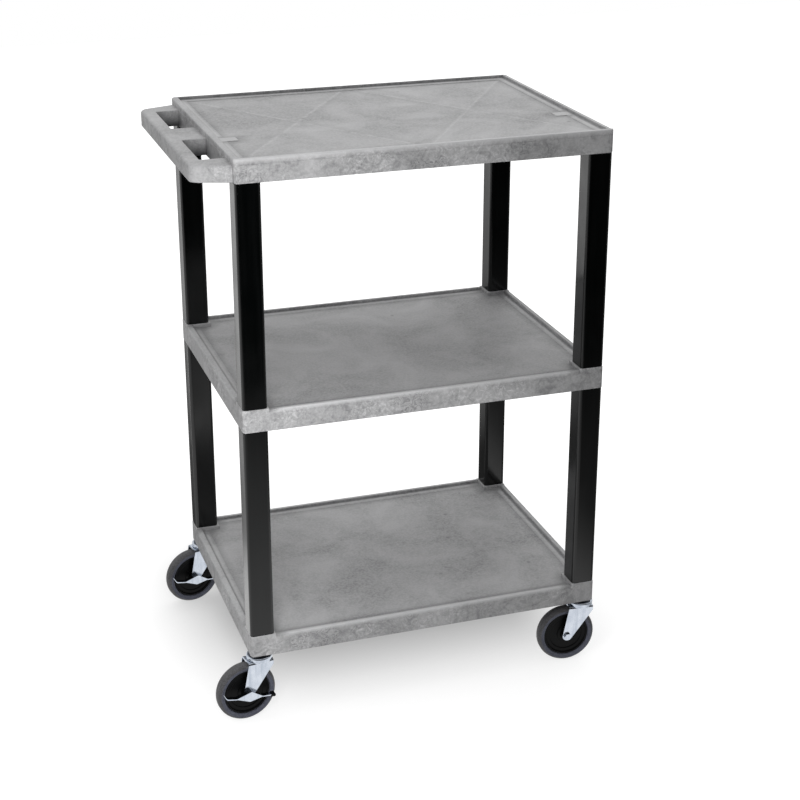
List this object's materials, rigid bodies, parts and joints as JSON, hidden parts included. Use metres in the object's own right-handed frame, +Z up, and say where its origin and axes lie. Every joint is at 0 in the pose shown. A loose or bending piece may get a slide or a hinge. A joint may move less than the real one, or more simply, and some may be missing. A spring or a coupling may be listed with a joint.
{
  "type": "three-shelf utility trolley",
  "caption": "Book trolley: flat moulded shelves with a low rim, square plastic legs, a moulded push handle, swivel casters and pedal brakes.",
  "frame": {"origin": "middle of the footprint of the whole trolley, handle and casters included, on the floor", "axes": "+Z up, handle towards -X, front of the shelves, with the heads of the axle bolts, towards -Y"},
  "size_m": [0.678, 0.4794, 0.95],
  "materials": {
    "shelf_foam_plastic": "moulded grey structural foam with swirl marks",
    "leg_plastic": "moulded black, satin",
    "insert_plastic": "moulded black",
    "hub_plastic": "moulded black, satin",
    "tyre_rubber": "soft grey rubber",
    "zinc_plated_steel": "bright zinc plating",
    "bearing_steel": "plain steel"
  },
  "bodies": {
    "root": {"bottom_shelf": "shelf_foam_plastic", "middle_shelf": "shelf_foam_plastic", "top_shelf": "shelf_foam_plastic", "lower_leg_front_left": "leg_plastic", "lower_leg_front_right": "leg_plastic", "lower_leg_back_left": "leg_plastic", "lower_leg_back_right": "leg_plastic", "upper_leg_front_left": "leg_plastic", "upper_leg_front_right": "leg_plastic", "upper_leg_back_left": "leg_plastic", "upper_leg_back_right": "leg_plastic", "stem_sleeve_front_left": "insert_plastic", "caster_stem_front_left": "zinc_plated_steel", "race_cap_front_left": "zinc_plated_steel", "swivel_balls_front_left": "bearing_steel", "stem_sleeve_front_right": "insert_plastic", "caster_stem_front_right": "zinc_plated_steel", "race_cap_front_right": "zinc_plated_steel", "swivel_balls_front_right": "bearing_steel", "stem_sleeve_back_left": "insert_plastic", "caster_stem_back_left": "zinc_plated_steel", "race_cap_back_left": "zinc_plated_steel", "swivel_balls_back_left": "bearing_steel", "stem_sleeve_back_right": "insert_plastic", "caster_stem_back_right": "zinc_plated_steel", "race_cap_back_right": "zinc_plated_steel", "swivel_balls_back_right": "bearing_steel"},
    "swivel_front_left": {"fork_front_left": "zinc_plated_steel", "axle_bolt_front_left": "zinc_plated_steel", "axle_nut_front_left": "zinc_plated_steel", "axle_bush_front_left": "bearing_steel"},
    "wheel_front_left": {"tyre_front_left": "tyre_rubber", "wheel_hub_front_left": "hub_plastic"},
    "swivel_front_right": {"fork_front_right": "zinc_plated_steel", "axle_bolt_front_right": "zinc_plated_steel", "axle_nut_front_right": "zinc_plated_steel", "axle_bush_front_right": "bearing_steel"},
    "wheel_front_right": {"tyre_front_right": "tyre_rubber", "wheel_hub_front_right": "hub_plastic"},
    "swivel_back_left": {"fork_back_left": "zinc_plated_steel", "axle_bolt_back_left": "zinc_plated_steel", "axle_nut_back_left": "zinc_plated_steel", "axle_bush_back_left": "bearing_steel"},
    "wheel_back_left": {"tyre_back_left": "tyre_rubber", "wheel_hub_back_left": "hub_plastic"},
    "swivel_back_right": {"fork_back_right": "zinc_plated_steel", "axle_bolt_back_right": "zinc_plated_steel", "axle_nut_back_right": "zinc_plated_steel", "axle_bush_back_right": "bearing_steel"},
    "wheel_back_right": {"tyre_back_right": "tyre_rubber", "wheel_hub_back_right": "hub_plastic"},
    "brake_front_left": {"brake_pedal_front_left": "zinc_plated_steel", "pedal_tip_front_left": "insert_plastic"},
    "brake_back_left": {"brake_pedal_back_left": "zinc_plated_steel", "pedal_tip_back_left": "insert_plastic"}
  },
  "joints": [
    {"name": "caster_swivel_front_left", "type": "hinge", "parent": "root", "child": "swivel_front_left", "pos_m": [-0.26203, -0.20512, 0.116], "axis": [0, 0, 1], "continuous": true},
    {"name": "wheel_spin_front_left", "type": "hinge", "parent": "swivel_front_left", "child": "wheel_front_left", "pos_m": [-0.28777, -0.20874, 0.0508], "axis": [0.1392, -0.9903, 0], "continuous": true},
    {"name": "caster_swivel_front_right", "type": "hinge", "parent": "root", "child": "swivel_front_right", "pos_m": [0.31397, -0.20512, 0.116], "axis": [0, 0, 1], "continuous": true},
    {"name": "wheel_spin_front_right", "type": "hinge", "parent": "swivel_front_right", "child": "wheel_front_right", "pos_m": [0.28807, -0.20286, 0.0508], "axis": [-0.0872, -0.9962, 0], "continuous": true},
    {"name": "caster_swivel_back_left", "type": "hinge", "parent": "root", "child": "swivel_back_left", "pos_m": [-0.26203, 0.21788, 0.116], "axis": [0, 0, 1], "continuous": true},
    {"name": "wheel_spin_back_left", "type": "hinge", "parent": "swivel_back_left", "child": "wheel_back_left", "pos_m": [-0.28746, 0.21247, 0.0508], "axis": [0.2079, -0.9781, 0], "continuous": true},
    {"name": "caster_swivel_back_right", "type": "hinge", "parent": "root", "child": "swivel_back_right", "pos_m": [0.31397, 0.21788, 0.116], "axis": [0, 0, 1], "continuous": true},
    {"name": "wheel_spin_back_right", "type": "hinge", "parent": "swivel_back_right", "child": "wheel_back_right", "pos_m": [0.28801, 0.21652, 0.0508], "axis": [0.0523, -0.9986, 0], "continuous": true},
    {"name": "brake_press_front_left", "type": "hinge", "parent": "swivel_front_left", "child": "brake_front_left", "pos_m": [-0.28777, -0.20874, 0.0508], "axis": [0.1392, -0.9903, 0], "range_deg": [0, 20]},
    {"name": "brake_press_back_left", "type": "hinge", "parent": "swivel_back_left", "child": "brake_back_left", "pos_m": [-0.28746, 0.21247, 0.0508], "axis": [0.2079, -0.9781, 0], "range_deg": [0, 20]}
  ]
}
